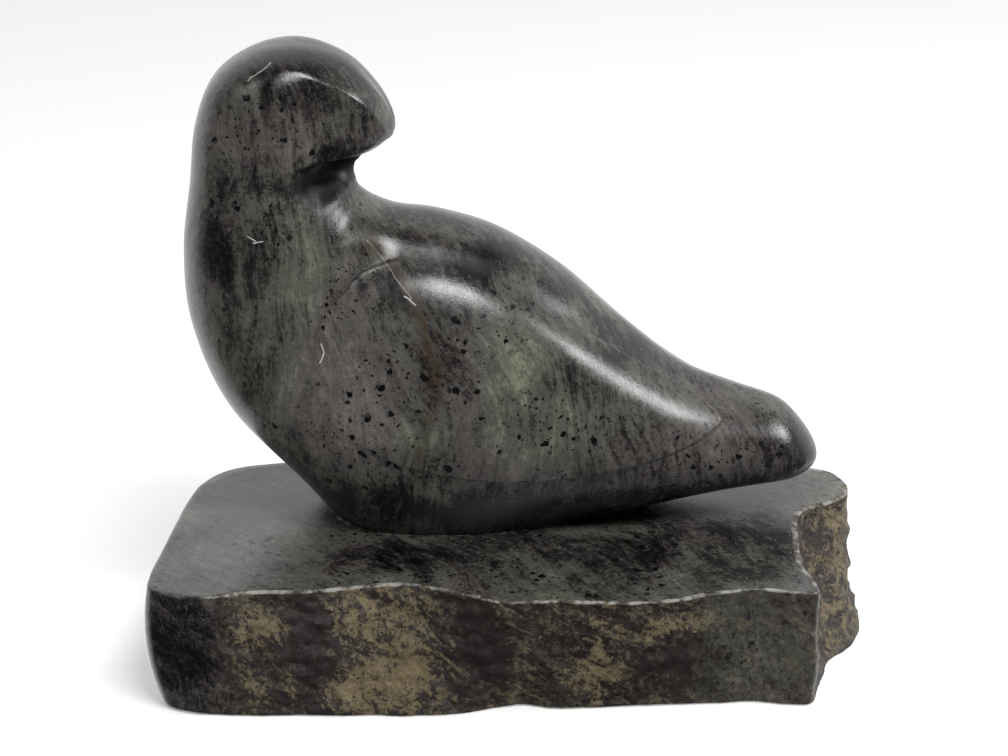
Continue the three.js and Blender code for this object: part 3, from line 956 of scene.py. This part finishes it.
@dataclass
class Carving:
    """The bird and its slab, cut from one block."""

    bird: Bird = field(default_factory=Bird)
    slab: Slab = field(default_factory=Slab)
    finish: Soapstone = field(default_factory=Soapstone)
    crease_angle: float = math.radians(50)
    vein: tuple = (
        (-46, 148),
        (-32, 133),
        (-26, 122),
        (-22.5, 109),
        (-22.5, 98),
        (-26.5, 88),
        (-28, 77),
    )
    vein_width: float = 1.7
    daubs: tuple = (
        Daub(Face.SIDE, (-66, 142), (9, 18), tone=0.16, green=0.3),
        # darker down the neck's left side
        Daub(Face.SIDE, (-97, 145), (8, 24), tone=-0.2),
        # painted shade: the hollow under the jaw darkened, and its polish thinned so it shows no highlight
        Daub(Face.SIDE, (-59, 168.5), (14, 8.5), tone=-0.9, satin=1.15),
        Daub(Face.SIDE, (-55, 153), (8, 9), tone=-0.2),
        Daub(Face.SIDE, (3, 99), (11, 24), tone=0.18, green=0.45),
        Daub(Face.SIDE, (19, 88), (9, 14), tone=0.12, green=0.4),
        Daub(Face.SIDE, (-50, 100), (12, 26), tone=0.16, green=-0.9),
        Daub(Face.SIDE, (-12, 92), (9, 18), tone=0.08, green=-0.6),
        Daub(Face.SIDE, (-73, 98), (10, 12), tone=0.12),
        # painted shade on the shoulder left of the vein, where the surface turns upwards; its polish is
        # thinned too
        Daub(Face.SIDE, (-42, 131), (10, 7), tone=-0.25, satin=1.0),
        Daub(Face.SIDE, (-21, 106), (5, 20), tone=-0.2),
        # painted shade along the belly and the lower breast, where the body turns under towards the slab
        Daub(Face.SIDE, (-10, 56), (62, 9), tone=-0.34),
        Daub(Face.SIDE, (-68, 70), (9, 12), tone=-0.2),
        Daub(Face.SIDE, (40, 82), (14, 12), tone=-0.12),
        Daub(Face.SIDE, (24, 104), (9, 8), tone=-0.12),
        Daub(Face.SIDE, (-68, 191), (22, 8), tone=0.06, green=-0.5),
        Daub(Face.SIDE, (-76, 181), (18, 7), tone=0.16, green=-0.8),
        # darker stone with a painted dark reflection over the crown and the forehead above the brow ridge
        Daub(Face.SIDE, (-70, 208), (26, 7), tone=-0.2),
        Daub(Face.SIDE, (-52, 201), (16, 11), tone=-0.28),
        # darker stone with a painted dark reflection along the band above the wing's highlight
        Daub(Face.SIDE, (-36, 147), (12, 5), tone=-0.3),
        Daub(Face.SIDE, (-11, 141), (14, 6), tone=-0.3),
        Daub(Face.SIDE, (16, 127), (13, 7), tone=-0.28),
        Daub(Face.SIDE, (40, 107), (13, 7), tone=-0.24),
        Daub(Face.SIDE, (104, 66), (9, 9), tone=-0.2),
        # painted sheen: the top's left end made paler where the bright wall behind reflects
        Daub(Face.TOP, (-95, 15), (30, 60), tone=0.14, green=-0.4),
        # painted reflection of the bird: the top darkened just in front of it
        Daub(Face.TOP, (-40, -12), (28, 14), tone=-0.26),
        # painted reflection of the bird's body and tail, with darker stone, in front of them
        Daub(Face.TOP, (50, -12), (45, 22), tone=-0.14),
        Daub(Face.TOP, (2, -12), (12, 14), tone=0.08, green=0.5),
        Daub(Face.TOP, (80, 30), (30, 14), green=-0.8),
        Daub(Face.FRONT, (-108, 22), (12, 40), tone=-0.16, green=-1.0),
        Daub(Face.FRONT, (-35, 14), (16, 11), gold=1.0),
        Daub(Face.FRONT, (-42, 35), (16, 7), gold=0.7),
        Daub(Face.FRONT, (-60, 8), (20, 6), gold=0.6),
        Daub(Face.FRONT, (-87, 30), (4, 7), gold=0.9),
        Daub(Face.FRONT, (-78, 31), (6, 5), gold=0.7),
        Daub(Face.FRONT, (-66, 24), (8, 22), tone=-0.2),
        Daub(Face.FRONT, (-8, 24), (10, 20), tone=-0.15),
        Daub(Face.FRONT, (31, 22), (5, 20), gold=0.8),
        Daub(Face.FRONT, (54, 16), (14, 9), tone=-0.15),
        Daub(Face.FRONT, (56, 33), (9, 5), gold=0.8),
        Daub(Face.FRONT, (116, 22), (12, 40), gold=0.45),
    )

    def build(self) -> bpy.types.Object:
        """Models both parts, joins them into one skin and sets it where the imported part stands.

        Returns:
            The finished carving in metres.
        """
        slab = self.slab.build()
        log.info("slab: %d faces", len(slab.data.polygons))
        bird = self.bird.build()
        log.info("bird: %d faces", len(bird.data.polygons))
        joining = slab.modifiers.new("carved_together", "BOOLEAN")
        joining.operation = "UNION"
        joining.solver = "EXACT"
        joining.object = bird
        bpy.context.view_layer.objects.active = slab
        bpy.ops.object.modifier_apply(modifier=joining.name)
        bpy.data.objects.remove(bird)
        slab.name = "carved_bird_on_base"
        slab.data.name = slab.name
        close_skin(slab)
        self.colour_patches(slab)
        self.place(slab)
        return slab

    def place(self, piece: bpy.types.Object) -> None:
        """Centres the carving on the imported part's box, and turns millimetres into metres."""
        low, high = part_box(CAD_NODE)
        points = mesh_points(piece)
        middle = (points.min(0) + points.max(0)) / 2
        points[:, :2] -= middle[:2]
        points *= MM
        points[:, 0] += (low.x + high.x) / 2
        points[:, 1] += (low.y + high.y) / 2
        points = np.clip(points, np.array(low), np.array(high))
        set_points(piece, points)

    def colour_patches(self, piece: bpy.types.Object) -> None:
        """Paints the patches of stone colour, painted shade and painted reflection, the vein and the
        broken sides, in the carver's own frame.
        """
        points = mesh_points(piece)
        grain = Vector((11, 11, 16))
        wander = np.stack([roughness_at(points + shift, grain, 3) for shift in (0, 300)], 1)
        moved = points + np.column_stack([wander[:, 0] * 6, wander[:, 1] * 6, wander[:, 1] * 6])
        on_bird = points[:, 2] > self.slab.height + TOUCH
        moved[:, 2] = np.where(on_bird, moved[:, 2], points[:, 2])
        totals = {mask: np.zeros(len(points)) for mask in Mask}
        for daub in self.daubs:
            strength = daub.strength(moved, self.slab.height)
            for mask, amount in daub.amounts().items():
                totals[mask] += amount * strength
        totals[Mask.BROKEN] = self.slab.broken_at(points)
        gap = path_distance(points[:, [0, 2]] + wander * 1.5, np.array(self.vein, float))[0]
        totals[Mask.VEIN] += np.where(on_bird, np.exp(-((gap / self.vein_width) ** 2)), 0)
        rubbed = 0.6 + 0.4 * smooth_step(wander[:, 0], -0.4, 0.2)
        totals[Mask.SCORE] = self.joint_line(piece, points) * rubbed
        totals[Mask.SATIN] = np.clip(totals[Mask.SATIN], 0, 1)
        for mask, values in totals.items():
            paint(piece, mask, values)

    def joint_line(self, piece: bpy.types.Object, points: np.ndarray) -> np.ndarray:
        """1 at the points where the bird's near side meets the slab's top, and 0 elsewhere."""
        count = len(points)
        on_top, on_bird = np.zeros(count, bool), np.zeros(count, bool)
        for face in piece.data.polygons:
            flat = face.normal.z > 0.999 and abs(face.center.z - self.slab.height) < 0.01
            (on_top if flat else on_bird)[list(face.vertices)] = True
        near = (points[:, 1] > -20) & (points[:, 1] < self.bird.axis_y) & (np.abs(points[:, 0]) < 75)
        return (on_top & on_bird & near).astype(float)

    def dress(self, piece: bpy.types.Object) -> None:
        """Smooths the skin and gives it its finish."""
        bpy.ops.object.select_all(action="DESELECT")
        piece.select_set(True)
        bpy.context.view_layer.objects.active = piece
        bpy.ops.object.shade_smooth_by_angle(angle=self.crease_angle)
        piece.data.materials.clear()
        piece.data.materials.append(self.finish.material())


@dataclass
class Studio:
    """A pale floor, soft lights and the camera."""

    aim: Vector = Vector((-0.00315, -0.01752, 0.105))
    distance: float = 1.0
    elevation: float = math.radians(22)
    lens: float = 107.14
    floor_radius: float = 3.2
    back_wall: float = 1.0
    side_wall: float = 0.5
    front_wall: float = 0.06
    paper_glow: float = 0.3
    lamp_distance: float = 1.3
    boxes: tuple = (  # name, way from the carving, width and height in metres, and power in watts
        ("top_box", (0.22, -0.45, 0.85), (0.6, 0.34), 12.5),
        ("right_box", (0.84, -0.06, 0.56), (0.42, 0.28), 6.5),
        ("left_box", (-0.66, -0.3, 0.7), (0.35, 0.3), 1.2),
    )

    def floor(self) -> bpy.types.Object:
        """Adds the floor."""
        bpy.ops.object.select_all(action="DESELECT")
        bpy.ops.mesh.primitive_circle_add(vertices=96, radius=self.floor_radius, fill_type="NGON")
        floor = bpy.context.object
        floor.name = "floor"
        paper = bpy.data.materials.new("white_paper")
        paper.use_nodes = True
        board = Board(paper.node_tree)
        shader = board.add(
            "ShaderNodeBsdfPrincipled",
            {
                "Base Color": (0.9, 0.9, 0.9, 1),
                "Roughness": 0.9,
                "Specular IOR Level": 0.0,
                "Emission Color": (1, 1, 1, 1),
                "Emission Strength": self.paper_glow,
            },
        )
        board.add("ShaderNodeOutputMaterial", {"Surface": shader.outputs["BSDF"]})
        floor.data.materials.append(paper)
        floor.visible_glossy = False
        return floor

    def lamp(self, name: str, way: Vector, size: tuple[float, float], power: float) -> bpy.types.Object:
        """Adds one soft box that faces the carving.

        Args:
            name: Its name.
            way: The way to it from the carving.
            size: Its width and height in metres.
            power: Its power in watts.

        Returns:
            The lamp.
        """
        light = bpy.data.lights.new(name, "AREA")
        light.shape = "RECTANGLE"
        light.size, light.size_y = size
        light.energy = power
        lamp = bpy.data.objects.new(name, light)
        lamp.location = self.aim + way.normalized() * self.lamp_distance
        lamp.rotation_euler = (-way).to_track_quat("-Z", "Y").to_euler()
        bpy.context.collection.objects.link(lamp)
        return lamp

    def sky(self) -> None:
        """Makes the room's light: bright behind and at the right, dark above and in front."""
        world = bpy.data.worlds.new("studio")
        world.use_nodes = True
        board = Board(world.node_tree)
        way = board.add("ShaderNodeTexCoord").outputs["Generated"]
        split = board.add("ShaderNodeSeparateXYZ", {"Vector": way})
        behind = board.band(split.outputs["Y"], 0.1, 0.42)
        beside = board.math("MULTIPLY", board.band(split.outputs["X"], 0.8, 0.97), self.side_wall)
        room = board.math("MAXIMUM", board.math("MULTIPLY", behind, self.back_wall), beside)
        room = board.math("MAXIMUM", room, self.front_wall)
        seen = board.add("ShaderNodeLightPath").outputs["Is Camera Ray"]
        strength = board.add("ShaderNodeMix", {0: seen, 2: room, 3: 1.0}).outputs[0]
        back = board.add("ShaderNodeBackground", {"Color": (1, 1, 1, 1), "Strength": strength})
        board.add("ShaderNodeOutputWorld", {"Surface": back.outputs["Background"]})
        bpy.context.scene.world = world

    def camera(self) -> bpy.types.Object:
        """Adds the camera."""
        data = bpy.data.cameras.new("camera")
        data.lens = self.lens
        data.sensor_width = 36
        camera = bpy.data.objects.new("camera", data)
        away = Vector((0, -math.cos(self.elevation), math.sin(self.elevation)))
        camera.location = self.aim + away * self.distance
        camera.rotation_euler = (-away).to_track_quat("-Z", "Y").to_euler()
        bpy.context.collection.objects.link(camera)
        bpy.context.scene.camera = camera
        return camera

    def build(self) -> None:
        """Sets up the whole studio."""
        self.floor()
        for name, way, size, power in self.boxes:
            self.lamp(name, Vector(way), size, power)
        self.sky()
        self.camera()
        bpy.context.scene.view_settings.view_transform = "Standard"


def main() -> None:
    """Builds the carving and the studio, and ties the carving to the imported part."""
    logging.basicConfig(level=logging.INFO, format="%(message)s")
    carving = Carving()
    piece = carving.build()
    carving.dress(piece)
    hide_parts(CAD_NODE)
    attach(piece, "root")
    log.info("%s: %d faces", piece.name, len(piece.data.polygons))
    Studio().build()
    log.info("studio: floor, lights and camera")


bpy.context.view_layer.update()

if __name__ == "__main__":
    main()
